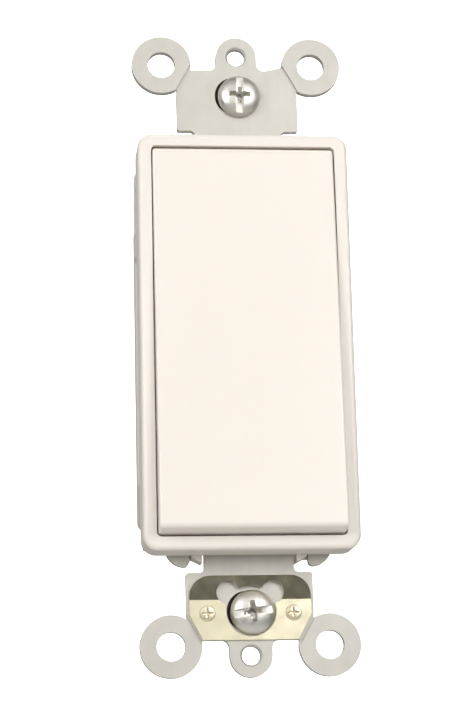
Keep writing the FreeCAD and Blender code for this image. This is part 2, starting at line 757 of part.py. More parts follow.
# ---------------------------------------------------------------- screws and clip


def make_box_screws():
    pieces = []
    for sign, word in BOTH:
        at_z = sign + "box_screw_z - screw_drop"
        at_x = "screw_shift"
        name = "box_screw_" + word
        neck = rod(name + "_neck", (at_x, "-strap_thick - 0.5", at_z), "y", "2.4", "screw_r - 0.3")
        shank_start, shank_long = (at_x, "retainer_thick", at_z), "screw_long - retainer_thick"
        shank = rod(name + "_shank", shank_start, "y", shank_long, "screw_r")
        flange = rod(name + "_flange", (at_x, "-strap_thick - 0.9", at_z), "y", "0.9", "screw_head_r")
        dome_start, dome_high = (at_x, "-strap_thick - screw_head_high", at_z), "screw_head_high - 0.9"
        dome = cone(name + "_dome", dome_start, "y", dome_high, "screw_head_r - 1.1", "screw_head_r")
        solid = joined(name + "_solid", [neck, shank, flange, dome])
        slot_y = "-strap_thick - screw_head_high - 0.2"
        long_low, long_high = at_z + " - 4", at_z + " + 4"
        slot_low = (at_x + " - 0.45", slot_y, long_low)
        slot_high = (at_x + " + 0.45", slot_y + " + 1.2", long_high)
        slot = box(name + "_slot", slot_low, slot_high)
        cross_low = (at_x + " - 1.7", slot_y, at_z + " - 0.45")
        cross_high = (at_x + " + 1.7", slot_y + " + 1.4", at_z + " + 0.45")
        cross = box(name + "_cross", cross_low, cross_high)
        pieces.append(less(name, solid, [slot, cross]))
    return group("box_screws", pieces)


def make_retainers():
    pieces = []
    for sign, word in BOTH:
        at_x, at_z = "screw_shift", sign + "box_screw_z - screw_drop"
        name = "retainer_" + word
        low = (at_x + " - retainer_half", "0", at_z + " - retainer_half")
        high = (at_x + " + retainer_half", "retainer_thick", at_z + " + retainer_half")
        square = box(name + "_square", low, high)
        hole = rod(name + "_hole", (at_x, "-1", at_z), "y", "3", "screw_r - 0.3")
        pieces.append(less(name, square, [hole]))
    return group("screw_retainers", pieces)


def make_clip():
    clip = new_body("grounding_clip")
    strip = [
        (STRAP_FRONT, "clip_bottom_z"),
        (STRAP_FRONT, "clip_bend_z"),
        ("-strap_thick - clip_lean", "clip_top_z"),
        ("-strap_thick - clip_thick - clip_lean", "clip_top_z - 0.1"),
        ("-strap_thick - clip_thick", "clip_bend_z - 0.08"),
        ("-strap_thick - clip_thick", "clip_bottom_z"),
    ]
    add(clip, "strip", "x", "-clip_half", "clip_half", strip)

    def top_corner(edge):
        spot = edge.CenterOfMass
        at_side = abs(abs(spot.x) - number("clip_half")) < 0.01
        return at_side and spot.z > number("clip_top_z") - 0.2

    soften(clip, "top_corners", "clip_top_round", top_corner)
    corner = [
        ("clip_slant_x", "clip_bottom_z - 1"),
        ("clip_half + 0.03", "clip_slant_z"),
        ("clip_half + 1", "clip_slant_z"),
        ("clip_half + 1", "clip_bottom_z - 1"),
    ]
    remove(clip, "lower_corners", "y", "-4", "0", corner, mirrored(corner))
    remove(clip, "screw_clearance", "y", "-4", "0", disc("clip_eye_x", "clip_eye_z", "clip_eye_r"))
    for side, word in (("", "right"), ("-", "left")):
        ear = disc(side + "clip_ear_x", "clip_ear_z", "clip_ear_r")
        remove(clip, "ear_cut_" + word, "y", "-4", "0", ear)
    holes = [disc(side + "stake_x", "stake_z", "stake_r") for side in ("", "-")]
    remove(clip, "stake_holes", "y", "-4", "0", *holes)
    return clip


def make_stakes():
    pieces = []
    for side, word in (("", "right"), ("-", "left")):
        start = (side + "stake_x", "-strap_thick - stake_high", "stake_z")
        pieces.append(rod("stake_" + word, start, "y", "stake_high", "stake_r"))
    return group("clip_stakes", pieces)


def side_screw(name, head_x, sense, at_y, at_z, thread_r, head_r, head_high, length):
    """A slotted screw along X; sense is 1 when the head faces +X and -1 when it faces -X."""
    if sense > 0:
        head = rod(name + "_head", (head_x, at_y, at_z), "x", head_high, head_r)
        shank_start = (head_x + " - " + length, at_y, at_z)
        slot_low = (head_x + " + " + head_high + " - 0.8", at_y + " - 5", at_z + " - 0.5")
        slot_high = (head_x + " + " + head_high + " + 1", at_y + " + 5", at_z + " + 0.5")
    else:
        head = rod(name + "_head", (head_x + " - " + head_high, at_y, at_z), "x", head_high, head_r)
        shank_start = (head_x + " - 0.5", at_y, at_z)
        slot_low = (head_x + " - " + head_high + " - 1", at_y + " - 5", at_z + " - 0.5")
        slot_high = (head_x + " - " + head_high + " + 0.8", at_y + " + 5", at_z + " + 0.5")
    shank = rod(name + "_shank", shank_start, "x", length + " + 0.5", thread_r)
    slot = box(name + "_slot", slot_low, slot_high)
    return less(name, joined(name + "_solid", [head, shank]), [slot])


def make_terminal_screw(name, at_z):
    head_x = "terminal_x + metal + 1.9"
    sizes = ("terminal_r", "terminal_head_r", "1.9", "5.2")
    return side_screw(name, head_x, 1, "terminal_y", at_z, *sizes)


def make_clamp(name, at_z):
    low = ("terminal_x + metal + 0.8", "terminal_y - 4", at_z + " - 4")
    high = ("terminal_x + metal + 1.8", "terminal_y + 4", at_z + " + 4")
    plate = box(name + "_plate", low, high)
    hole = rod(name + "_hole", ("terminal_x", "terminal_y", at_z), "x", "4", "terminal_r + 0.3")
    return less(name, plate, [hole])


def make_ground_screw():
    head_x = "-ground_x - 0.1"
    return side_screw(
        "ground_screw", head_x, -1, "ground_y", "ground_z", "ground_r", "ground_head_r", "1.9", "4.2"
    )


NODES = [
    make_strap(),
    make_frame(),
    make_rocker(),
    make_spring(),
    make_plunger(),
    make_cover(),
    make_base(),
    make_rivets(),
    make_line_terminal(),
    make_load_terminal(),
    make_push_in_clamps(),
    make_fixed_contact(),
    make_cradle(),
    make_arm(),
    make_moving_contact(),
    make_pin(),
    make_bumpers(),
    make_box_screws(),
    make_retainers(),
    make_clip(),
    make_stakes(),
    make_terminal_screw("line_screw", "terminal_z"),
    make_terminal_screw("load_screw", "-terminal_z"),
    make_clamp("line_clamp", "terminal_z"),
    make_clamp("load_clamp", "-terminal_z"),
    make_ground_screw(),
]

doc.recompute()

for part in doc.Objects:
    bad = [word for word in part.State if word in ("Invalid", "Error")]
    if bad:
        raise RuntimeError("%s is %s" % (part.Name, bad))

for part in NODES:
    part.Label = part.Name
    if part.Shape.isNull() or not part.Shape.isValid():
        raise RuntimeError(part.Name + " has no valid shape")

for part in NODES:
    part.Shape.exportStep("parts/%s.step" % part.Name)
    span = part.Shape.BoundBox
    low = [round(v, 2) for v in (span.XMin, span.YMin, span.ZMin)]
    high = [round(v, 2) for v in (span.XMax, span.YMax, span.ZMax)]
    print(part.Name, len(part.Shape.Solids), low, high)
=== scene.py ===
import math

import bmesh
import bpy
from mathutils import Matrix, Vector


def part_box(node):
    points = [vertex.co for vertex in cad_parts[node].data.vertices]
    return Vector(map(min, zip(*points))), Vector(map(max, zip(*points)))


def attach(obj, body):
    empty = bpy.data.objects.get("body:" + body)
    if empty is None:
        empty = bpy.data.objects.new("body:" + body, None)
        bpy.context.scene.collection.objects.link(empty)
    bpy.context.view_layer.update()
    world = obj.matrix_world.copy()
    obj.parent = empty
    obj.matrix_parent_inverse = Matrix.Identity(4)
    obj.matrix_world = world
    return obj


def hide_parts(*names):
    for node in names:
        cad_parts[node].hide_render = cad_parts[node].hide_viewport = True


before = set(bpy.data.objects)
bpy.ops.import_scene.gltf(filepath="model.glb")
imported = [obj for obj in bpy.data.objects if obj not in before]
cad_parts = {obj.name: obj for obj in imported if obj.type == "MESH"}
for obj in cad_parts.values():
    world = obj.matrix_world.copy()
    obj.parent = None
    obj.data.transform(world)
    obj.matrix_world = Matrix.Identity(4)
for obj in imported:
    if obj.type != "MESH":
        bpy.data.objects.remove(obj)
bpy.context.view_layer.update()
MM = 0.001


# ---------------------------------------------------------------- node helpers


class Shader:
    """A small wrapper that builds one procedural material node by node."""

    def __init__(self, name):
        self.material = bpy.data.materials.new(name)
        self.material.use_nodes = True
        self.nodes = self.material.node_tree.nodes
        self.links = self.material.node_tree.links
        self.nodes.clear()
        self.surface = self.add("ShaderNodeBsdfPrincipled")
        output = self.add("ShaderNodeOutputMaterial")
        self.links.new(self.surface.outputs["BSDF"], output.inputs["Surface"])
        self.place = self.add("ShaderNodeTexCoord").outputs["Object"]

    def add(self, kind, **settings):
        node = self.nodes.new(kind)
        for word, value in settings.items():
            setattr(node, word, value)
        return node

    def feed(self, target, value):
        """Link a socket to the target, or set the target to a plain value."""
        if hasattr(value, "is_linked"):
            self.links.new(value, target)
        else:
            target.default_value = value

    def noise(self, scale, detail=3.0, rough=0.55, stretch=None):
        """Noise with features about 1/scale metres across."""
        node = self.add("ShaderNodeTexNoise")
        node.inputs["Scale"].default_value = scale
        node.inputs["Detail"].default_value = detail
        node.inputs["Roughness"].default_value = rough
        place = self.place
        if stretch:
            mapping = self.add("ShaderNodeMapping")
            self.feed(mapping.inputs["Vector"], place)
            mapping.inputs["Scale"].default_value = stretch
            place = mapping.outputs["Vector"]
        self.feed(node.inputs["Vector"], place)
        return node.outputs["Fac"]

    def cells(self, scale, output="Distance"):
        """Voronoi cells about 1/scale metres across."""
        node = self.add("ShaderNodeTexVoronoi")
        node.inputs["Scale"].default_value = scale
        self.feed(node.inputs["Vector"], self.place)
        return node.outputs[output]

    def span(self, value, low, high, to_low=0.0, to_high=1.0):
        """Stretch a value from one range to another, clamped."""
        node = self.add("ShaderNodeMapRange")
        self.feed(node.inputs["Value"], value)
        node.inputs["From Min"].default_value = low
        node.inputs["From Max"].default_value = high
        node.inputs["To Min"].default_value = to_low
        node.inputs["To Max"].default_value = to_high
        return node.outputs["Result"]

    def math(self, kind, a, b=0.0):
        """One arithmetic step on values or sockets."""
        node = self.add("ShaderNodeMath", operation=kind)
        self.feed(node.inputs[0], a)
        self.feed(node.inputs[1], b)
        return node.outputs["Value"]

    def mix(self, amount, a, b):
        """Blend two colours (or colour sockets)."""
        node = self.add("ShaderNodeMix", data_type="RGBA")
        self.feed(node.inputs["Factor"], amount)
        for socket, value in ((node.inputs[6], a), (node.inputs[7], b)):
            if hasattr(value, "is_linked"):
                self.links.new(value, socket)
            else:
                socket.default_value = (*value, 1.0)
        return node.outputs[2]

    def set(self, **values):
        """Set the surface's inputs, written with _ for each space; a tuple is a colour."""
        for word, value in values.items():
            socket = self.surface.inputs[word.replace("_", " ")]
            if isinstance(value, tuple):
                value = (*value, 1.0)
            self.feed(socket, value)

    def bump(self, *layers):
        """Stack height layers, each (height, depth in metres)."""
        normal = None
        for height, depth in layers:
            node = self.add("ShaderNodeBump")
            node.inputs["Strength"].default_value = 1.0
            node.inputs["Distance"].default_value = depth
            self.feed(node.inputs["Height"], height)
            if normal is not None:
                self.feed(node.inputs["Normal"], normal)
            normal = node.outputs["Normal"]
        self.feed(self.surface.inputs["Normal"], normal)


# ---------------------------------------------------------------- materials


def moulded_plastic(name, colour, shade, roughness=0.34, grain=0.000004):
    """Injection-moulded plastic: faint flow mottling, fine mould texture and handling rubs."""
    m = Shader(name)
    flow = m.noise(45.0, 2.0, 0.5, stretch=(1.0, 1.0, 0.45))
    tone = m.mix(m.span(flow, 0.3, 0.7), colour, shade)
    specks = m.span(m.cells(900.0), 0.0, 0.06, 1.0, 0.0)
    dust = m.math("MULTIPLY", specks, m.span(m.noise(160.0, 2.0), 0.55, 0.75, 0.0, 0.35))
    m.set(Base_Color=m.mix(dust, tone, tuple(c * 0.6 for c in colour)))
    rubs = m.noise(220.0, 4.0, 0.6, stretch=(1.0, 1.0, 0.12))
    m.set(Roughness=m.span(rubs, 0.3, 0.7, roughness - 0.02, roughness + 0.03))
    m.surface.inputs["Specular IOR Level"].default_value = 0.5
    m.surface.inputs["Subsurface Weight"].default_value = 0.15
    m.surface.inputs["Subsurface Radius"].default_value = (1.0, 0.85, 0.7)
    m.surface.inputs["Subsurface Scale"].default_value = 0.0012
    m.bump((m.noise(4200.0, 2.0, 0.5), grain), (m.noise(70.0, 2.0, 0.5), grain * 2))
    return m


def galvanised(name, light, dark, edge_shade, roughness=0.52):
    """Zinc-coated steel: faint spangle, rolling lines, dull smudges and painted shade on the sheared
    edges.
    """
    m = Shader(name)
    spangle = m.cells(650.0, "Color")
    grey = m.add("ShaderNodeRGBToBW")
    m.feed(grey.inputs["Color"], spangle)
    patch = m.span(m.noise(110.0, 4.0, 0.6), 0.32, 0.68)
    tone = m.mix(patch, light, dark)
    bright = tuple(c * 1.08 for c in light)
    tone = m.mix(m.span(grey.outputs["Val"], 0.2, 0.8, 0.0, 0.1), tone, bright)
    lines = m.noise(900.0, 3.0, 0.6, stretch=(1.0, 1.0, 0.03))
    tone = m.mix(m.span(lines, 0.45, 0.75, 0.0, 0.1), tone, tuple(c * 0.7 for c in dark))
    # the sheet lies across Y, so a normal away from Y marks a cut edge, and the cut edges are painted
    # darker as shade
    facing = m.add("ShaderNodeSeparateXYZ")
    m.feed(facing.inputs["Vector"], m.add("ShaderNodeTexCoord").outputs["Normal"])
    cut = m.span(m.math("ABSOLUTE", facing.outputs["Y"]), 0.25, 0.9, 1.0, 0.0)
    m.set(Base_Color=m.mix(cut, tone, edge_shade))
    m.surface.inputs["Metallic"].default_value = 0.5
    m.set(Roughness=m.span(m.noise(300.0, 4.0), 0.3, 0.7, roughness - 0.05, roughness + 0.07))
    m.bump((lines, 0.000003), (m.noise(1500.0, 3.0, 0.6), 0.000006))
    return m


def plated(name, colour, dark, roughness=0.22):
    """Bright zinc plate on a machined or headed part, with grime in patches."""
    m = Shader(name)
    stain = m.span(m.noise(420.0, 4.0, 0.6), 0.4, 0.72)
    m.set(Base_Color=m.mix(stain, colour, dark))
    m.surface.inputs["Metallic"].default_value = 1.0
    m.set(Roughness=m.span(m.noise(900.0, 3.0), 0.3, 0.7, roughness - 0.06, roughness + 0.14))
    m.bump((m.noise(1800.0, 3.0, 0.6), 0.000012), (m.noise(500.0, 3.0), 0.00002))
    return m


def brass_sheet(name, bright, dull, roughness=0.24):
    """Rolled brass with faint rolling lines and slow tarnish."""
    m = Shader(name)
    tarnish = m.span(m.noise(130.0, 3.0, 0.5), 0.42, 0.75, 0.0, 0.4)
    lines = m.noise(700.0, 3.0, 0.6, stretch=(0.03, 1.0, 1.0))
    tone = m.mix(tarnish, bright, dull)
    m.set(Base_Color=m.mix(m.span(lines, 0.5, 0.8, 0.0, 0.2), tone, tuple(c * 0.72 for c in dull)))
    m.surface.inputs["Metallic"].default_value = 1.0
    m.set(Roughness=m.span(m.noise(500.0, 3.0), 0.3, 0.7, roughness - 0.03, roughness + 0.06))
    m.bump((lines, 0.000003), (m.noise(1300.0, 3.0), 0.000002))
    return m


def fibre(name, colour, dark):
    """Pressed vulcanised fibre: matted short threads."""
    m = Shader(name)
    threads = m.noise(900.0, 5.0, 0.7, stretch=(1.0, 1.0, 0.3))
    m.set(Base_Color=m.mix(m.span(threads, 0.35, 0.65), colour, dark))
    m.set(Roughness=m.span(threads, 0.3, 0.7, 0.7, 0.9))
    m.bump((threads, 0.00003))
    return m


def soft_rubber(name, colour):
    """Black rubber with a pale bloom in patches."""
    m = Shader(name)
    bloom = m.span(m.noise(260.0, 4.0), 0.4, 0.75, 0.0, 0.35)
    m.set(Base_Color=m.mix(bloom, colour, tuple(c * 2.5 + 0.02 for c in colour)))
    m.set(Roughness=m.span(bloom, 0.0, 0.35, 0.6, 0.8))
    m.bump((m.noise(1600.0, 3.0), 0.00001))
    return m


def shaded(colour, amount=0.02):
    """The same colour a little darker."""
    return tuple(c - amount for c in colour)


FRAME_WHITE = (0.88, 0.835, 0.775)
ROCKER_WHITE = (0.90, 0.85, 0.785)
COVER_GREY = (0.74, 0.72, 0.68)
BASE_GREY = (0.76, 0.74, 0.70)
# each metal is its bright tone, its dull one and the painted shade tone for its sheared edges
STRAP_ZINC = ((0.61, 0.59, 0.548), (0.565, 0.545, 0.505), (0.55, 0.535, 0.505))
STAKE_ZINC = ((0.86, 0.79, 0.60), (0.80, 0.72, 0.53), (0.66, 0.58, 0.42))
SILVER = ((0.86, 0.85, 0.82), (0.55, 0.53, 0.50))
TERMINAL_BRASS = ((0.78, 0.58, 0.27), (0.55, 0.40, 0.18))
SCREW_BRASS = ((0.80, 0.63, 0.30), (0.55, 0.42, 0.20))
CLAMP_BRASS = ((0.76, 0.59, 0.28), (0.52, 0.39, 0.18))
COARSE = 0.00001
MATERIALS = {
    "front_frame": moulded_plastic("frame_plastic", FRAME_WHITE, shaded(FRAME_WHITE), 0.36),
    "rocker_paddle": moulded_plastic("rocker_plastic", ROCKER_WHITE, shaded(ROCKER_WHITE), 0.30),
    "housing_cover": moulded_plastic("cover_plastic", COVER_GREY, shaded(COVER_GREY, 0.05), 0.45, COARSE),
    "housing_base": moulded_plastic("base_plastic", BASE_GREY, shaded(BASE_GREY, 0.05), 0.45, COARSE),
    "spring_plunger": moulded_plastic("nylon", (0.72, 0.70, 0.62), (0.66, 0.64, 0.56), 0.4),
    "contact_cradle": moulded_plastic("black_nylon", (0.03, 0.03, 0.032), (0.045, 0.045, 0.047), 0.45),
    "mounting_strap": galvanised("strap_zinc", *STRAP_ZINC),
    "clip_stakes": galvanised("stake_zinc", *STAKE_ZINC, 0.3),
    "housing_rivets": plated("rivet_zinc", (0.66, 0.65, 0.62), (0.42, 0.41, 0.39), 0.32),
    "box_screws": plated("screw_zinc", (0.74, 0.72, 0.68), (0.62, 0.60, 0.56), 0.40),
    "toggle_spring": plated("spring_steel", (0.46, 0.46, 0.47), (0.28, 0.28, 0.28), 0.28),
    "fixed_contact": plated("silver_fixed", *SILVER, 0.25),
    "moving_contact_tip": plated("silver_moving", *SILVER, 0.25),
    "grounding_clip": brass_sheet("clip_brass", (0.97, 0.91, 0.68), (0.92, 0.85, 0.60), 0.2),
    "line_terminal": brass_sheet("line_brass", *TERMINAL_BRASS),
    "load_terminal": brass_sheet("load_brass", *TERMINAL_BRASS),
    "contact_arm": brass_sheet("arm_copper", (0.80, 0.46, 0.30), (0.50, 0.27, 0.17)),
    "pivot_pin": brass_sheet("pin_brass", (0.78, 0.60, 0.30), (0.55, 0.42, 0.20), 0.2),
    "line_screw": brass_sheet("line_screw_brass", *SCREW_BRASS, 0.2),
    "load_screw": brass_sheet("load_screw_brass", *SCREW_BRASS, 0.2),
    "line_clamp": brass_sheet("line_clamp_brass", *CLAMP_BRASS, 0.3),
    "load_clamp": brass_sheet("load_clamp_brass", *CLAMP_BRASS, 0.3),
    "ground_screw": plated("ground_green", (0.10, 0.26, 0.14), (0.06, 0.15, 0.08), 0.3),
    # the retainer is dark fibre, darkened further as painted shade for the strap slot seen round the
    # screw heads
    "screw_retainers": fibre("retainer_fibre_and_slot_shade", (0.13, 0.11, 0.095), (0.08, 0.07, 0.06)),
    "stop_bumpers": soft_rubber("bumper_rubber", (0.02, 0.02, 0.02)),
    "push_in_clamps": brass_sheet("push_clamp_brass", (0.74, 0.60, 0.32), (0.52, 0.41, 0.20), 0.26),
}

for name, shader in MATERIALS.items():
    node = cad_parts[name]
    node.data.materials.clear()
    node.data.materials.append(shader.material)

# ---------------------------------------------------------------- detailed screws and stakes
# These meshes are made in millimetres about their own axis, with Z towards the head, then placed.

OUT_OF_PLATE = (0, -1, 0)
NUMBER_SIX_PITCH = 0.794
QUARTER_TURNS = (0.0, math.pi / 2)


def ring_point(radius, height, share):
    """A point on a circle about Z, share of a full turn round from X."""
    angle = 2 * math.pi * share
    return radius * math.cos(angle), radius * math.sin(angle), height


def lathe(profile, steps=64):
    """Turn a (radius, height) outline, from the axis and back to it, into a closed solid."""
    shape = bmesh.new()
    rings = []
    for radius, height in profile:
        if radius < 1e-6:
            rings.append([shape.verts.new((0, 0, height))])
            continue
        rings.append([shape.verts.new(ring_point(radius, height, i / steps)) for i in range(steps)])
    for low, high in zip(rings, rings[1:]):
        for i in range(steps):
            j = (i + 1) % steps
            corners = [low[i % len(low)], low[j % len(low)], high[j % len(high)], high[i % len(high)]]
            shape.faces.new(list(dict.fromkeys(corners)))
    bmesh.ops.recalc_face_normals(shape, faces=shape.faces)
    return shape


def threaded_rod(length, major, pitch, root, steps=26, rows_per_turn=7):
    """A helical vee thread from z = -length up to z = 0, running out at both ends."""
    shape = bmesh.new()
    rows = int(length / pitch * rows_per_turn) + 1
    grid = []
    for row in range(rows + 1):
        height = -length + length * row / rows
        run_out = min(1.0, (height + length) / pitch, -height / pitch + 0.02)
        ring = []
        for i in range(steps):
            share = i / steps
            phase = (height / pitch - share) % 1.0
            ridge = 1 - abs(2 * phase - 1)
            crest = min(1.0, max(0.0, 1.5 * ridge - 0.2))
            radius = root + (major - root) * crest * max(0.0, run_out)
            ring.append(shape.verts.new(ring_point(radius, height, share)))
        grid.append(ring)
    for low, high in zip(grid, grid[1:]):
        for i in range(steps):
            j = (i + 1) % steps
            shape.faces.new((low[i], low[j], high[j], high[i]))
    shape.faces.new(list(reversed(grid[0])))
    shape.faces.new(grid[-1])
    bmesh.ops.recalc_face_normals(shape, faces=shape.faces)
    return shape


def block(size, place, turn=0.0, taper=1.0):
    """A box about a point, turned about Z, its lower face scaled by taper."""
    shape = bmesh.new()
    bmesh.ops.create_cube(shape, size=1.0)
    for vert in shape.verts:
        scale = taper if vert.co.z < 0 else 1.0
        vert.co = vert.co * Vector((size[0] * scale, size[1] * scale, size[2]))
    shape.transform(Matrix.Translation(Vector(place)) @ Matrix.Rotation(turn, 4, "Z"))
    return shape


def holder(shape, name):
    """An object that holds the finished shape."""
    mesh = bpy.data.meshes.new(name)
    shape.to_mesh(mesh)
    shape.free()
    made = bpy.data.objects.new(name, mesh)
    bpy.context.collection.objects.link(made)
    return made


def bevelled(made, width, angle):
    """Ease the edges that turn by more than the angle, in degrees."""
    ease = made.modifiers.new("ease", "BEVEL")
    ease.width = width
    ease.segments = 2
    ease.limit_method = "ANGLE"
    ease.angle_limit = math.radians(angle)


def carved(name, solid, cutters, bevel=0.05):
    """The solid less its cutters, with its hard edges eased, as a mesh."""
    made = holder(solid, name)
    temporary = []
    for count, cutter in enumerate(cutters):
        tool = holder(cutter, "%s_cutter_%d" % (name, count))
        step = made.modifiers.new("cut", "BOOLEAN")
        step.operation = "DIFFERENCE"
        step.solver = "EXACT"
        step.object = tool
        temporary.append(tool)
    bevelled(made, bevel, 38)
    bpy.context.view_layer.update()
    graph = bpy.context.evaluated_depsgraph_get()
    finished = bpy.data.meshes.new_from_object(made.evaluated_get(graph))
    old = made.data
    made.modifiers.clear()
    made.data = finished
    bpy.data.meshes.remove(old)
    for tool in temporary:
        mesh = tool.data
        bpy.data.objects.remove(tool)
        bpy.data.meshes.remove(mesh)
    return made


def placed(made, place, head_way, spin, body, shader, replaced=None):
    """Put a finished millimetre mesh in the frame, its head towards head_way, and let it ride."""
    head_way = Vector(head_way)
    level = Vector((0, 0, 1)) if abs(head_way.z) < 0.9 else Vector((1, 0, 0))
    side = level.cross(head_way).normalized()
    level = head_way.cross(side)
    turn = Matrix((side, level, head_way)).transposed().to_4x4()
    scale = Matrix.Diagonal((MM, MM, MM, 1.0))
    spot = Matrix.Translation(Vector(place))
    made.data.transform(spot @ turn @ Matrix.Rotation(math.radians(spin), 4, "Z") @ scale)
    made.data.materials.clear()
    made.data.materials.append(shader.material)
    for face in made.data.polygons:
        face.use_smooth = True
    made.data.set_sharp_from_angle(angle=math.radians(32))
    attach(made, body)
    if replaced:
        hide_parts(replaced)


def merged(name, *parts):
    """Several loose meshes in one object."""
    shape = bmesh.new()
    for part in parts:
        shape.from_mesh(part.data)
        mesh = part.data
        bpy.data.objects.remove(part)
        bpy.data.meshes.remove(mesh)
    return holder(shape, name)


def dome_profile(radius, rim, high, bore):
    """A pan head's outline: flat underside, short rim, then a crowned top."""
    lip = 0.12
    points = [(0.0, -0.01), (bore, -0.01), (bore, 0.0), (radius - lip, 0.0), (radius, lip), (radius, rim)]
    steps = 12
    for i in range(1, steps + 1):
        share = 1 - i / steps
        crown = (high - rim) * (1 - share ** 2.6) ** (1 / 1.7)
        points.append((radius * share, rim + crown))
    return points


def combination_screw(name, radius, high, shank, length, root, pitch, neck_gap):
    """A pan head with a driver slot and a cross recess, over a threaded shank."""
    blade = 1.15
    slot = block((2.4 * radius, blade, 1.7), (0, 0, high + 0.1))
    wings = [block((4.9, blade, 3.2), (0, 0, high - 0.1), turn, 0.4) for turn in QUARTER_TURNS]
    well = block((2.1, 2.1, 3.4), (0, 0, high - 0.2), math.pi / 4, 0.5)
    head = carved(name + "_head", lathe(dome_profile(radius, 0.5, high, root)), [slot, *wings, well])
    rod = holder(threaded_rod(length - neck_gap, shank, pitch, root), name + "_rod")
    rod.data.transform(Matrix.Translation((0, 0, -neck_gap)))
    start, stop = -neck_gap - 0.05, 0.05
    neck = holder(lathe([(0, start), (root, start), (root, stop), (0, stop)], 32), name + "_neck")
    return merged(name, head, rod, neck)


STRAP_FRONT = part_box("clip_stakes")[1][1]
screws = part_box("box_screws")
SCREW_X = (screws[0][0] + screws[1][0]) / 2
HEAD_R = (screws[1][0] - screws[0][0]) / 2 / MM
SCREW_TIP = (screws[1][1] - STRAP_FRONT) / MM
for word, at_z, spin in (
    ("upper", screws[1][2] - HEAD_R * MM, 88.0),
    ("lower", screws[0][2] + HEAD_R * MM, 7.0),
):
    screw = combination_screw(
        "box_screw_" + word,
        radius=HEAD_R,
        high=1.95,
        shank=1.75,
        length=SCREW_TIP,
        root=1.38,
        pitch=NUMBER_SIX_PITCH,
        neck_gap=1.75,
    )
    place = (SCREW_X, STRAP_FRONT, at_z)
    replaced = "box_screws" if word == "upper" else None
    placed(screw, place, OUT_OF_PLATE, spin, "device", MATERIALS["box_screws"], replaced)


def stake(name, radius, high):
    """A boss flattened over the clip, with a cross punched into it."""
    wall = [(0, -0.01), (radius, -0.01), (radius, high * 0.55)]
    crown = [(radius * 0.86, high * 0.9), (radius * 0.55, high), (0, high)]
    outline = wall + crown
    cuts = [block((3.4, 0.5, 1.0), (0, 0, high + 0.12), turn, 0.4) for turn in QUARTER_TURNS]
    return carved(name, lathe(outline, 40), cuts, 0.04)


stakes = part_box("clip_stakes")
STAKE_R = (stakes[1][2] - stakes[0][2]) / 2 / MM
STAKE_HIGH = (stakes[1][1] - stakes[0][1]) / MM
for word, at_x in (("left", stakes[0][0] + STAKE_R * MM), ("right", stakes[1][0] - STAKE_R * MM)):
    piece = stake("clip_stake_" + word, STAKE_R, STAKE_HIGH)
    place = (at_x, STRAP_FRONT, (stakes[0][2] + stakes[1][2]) / 2)
    replaced = "clip_stakes" if word == "left" else None
    placed(piece, place, OUT_OF_PLATE, 4.0, "device", MATERIALS["clip_stakes"], replaced)

SIDE_HEAD = 1.9
for word, body, spin in (("line_screw", "line_binding", 20.0), ("load_screw", "load_binding", -35.0)):
    low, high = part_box(word)
    base = Vector((high[0] - SIDE_HEAD * MM, (low[1] + high[1]) / 2, (low[2] + high[2]) / 2))
    screw = combination_screw(
        word + "_turned",
        radius=(high[2] - low[2]) / 2 / MM,
        high=SIDE_HEAD,
        shank=2.05,
        length=(base.x - low[0]) / MM,
        root=1.65,
        pitch=NUMBER_SIX_PITCH,
        neck_gap=0.3,
    )
    placed(screw, base, (1, 0, 0), spin, body, MATERIALS[word], word)


def hex_screw(name, washer_r, high, shank, length, root, pitch):
    """A hex washer head with a driver slot, over a threaded shank."""
    hex_r = washer_r * 0.84
    hexagon = lathe([(0, 0.5), (hex_r, 0.5), (hex_r, high - 0.25), (washer_r * 0.7, high), (0, high)], 6)
    rim = [(washer_r - 0.1, 0), (washer_r, 0.12), (washer_r, 0.4), (washer_r - 0.25, 0.56)]
    washer = lathe([(0, 0), *rim, (0, 0.56)], 48)
    slot = block((3 * washer_r, 0.9, 1.8), (0, 0, high + 0.05))
    cap = carved(name + "_cap", hexagon, [slot], 0.06)
    rod = holder(threaded_rod(length, shank, pitch, root), name + "_rod")
    return merged(name, cap, holder(washer, name + "_washer"), rod)


low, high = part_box("ground_screw")
ground = hex_screw(
    "ground_screw_turned",
    washer_r=(high[2] - low[2]) / 2 / MM,
    high=SIDE_HEAD,
    shank=1.6,
    length=(high[0] - low[0]) / MM - SIDE_HEAD,
    root=1.25,
    pitch=NUMBER_SIX_PITCH,
)
base = (low[0] + SIDE_HEAD * MM, (low[1] + high[1]) / 2, (low[2] + high[2]) / 2)
green = MATERIALS["ground_screw"]
placed(ground, base, (-1, 0, 0), 25.0, "ground_binding", green, "ground_screw")


def eased(node_name, width):
    """Break the hard edges of a CAD node so that they catch the light."""
    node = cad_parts[node_name]
    weld = node.modifiers.new("weld", "WELD")
    weld.merge_threshold = 0.000001
    bevelled(node, width * MM, 40)


eased("mounting_strap", 0.12)
eased("housing_base", 0.15)
eased("housing_cover", 0.12)
eased("line_clamp", 0.1)
eased("load_clamp", 0.1)

# ---------------------------------------------------------------- stage, lights and camera


def stage_plane(name, corners, brightness, glow=0.0):
    """A pale four-cornered sheet that is looked at but sends no light back to the object."""
    mesh = bpy.data.meshes.new(name)
    mesh.from_pydata(corners, [], [(0, 1, 2, 3)])
    plane = bpy.data.objects.new(name, mesh)
    bpy.context.collection.objects.link(plane)
    shader = Shader(name + "_paint")
    mottle = shader.span(shader.noise(6.0, 2.0), 0.3, 0.7)
    tone = shader.mix(mottle, (brightness,) * 3, (brightness * 0.985,) * 3)
    shader.set(Base_Color=tone)
    shader.set(Roughness=0.9)
    if glow:
        shader.set(Emission_Color=tone)
        shader.surface.inputs["Emission Strength"].default_value = glow
    mesh.materials.append(shader.material)
    plane.visible_diffuse = False
    plane.visible_glossy = False
    return plane


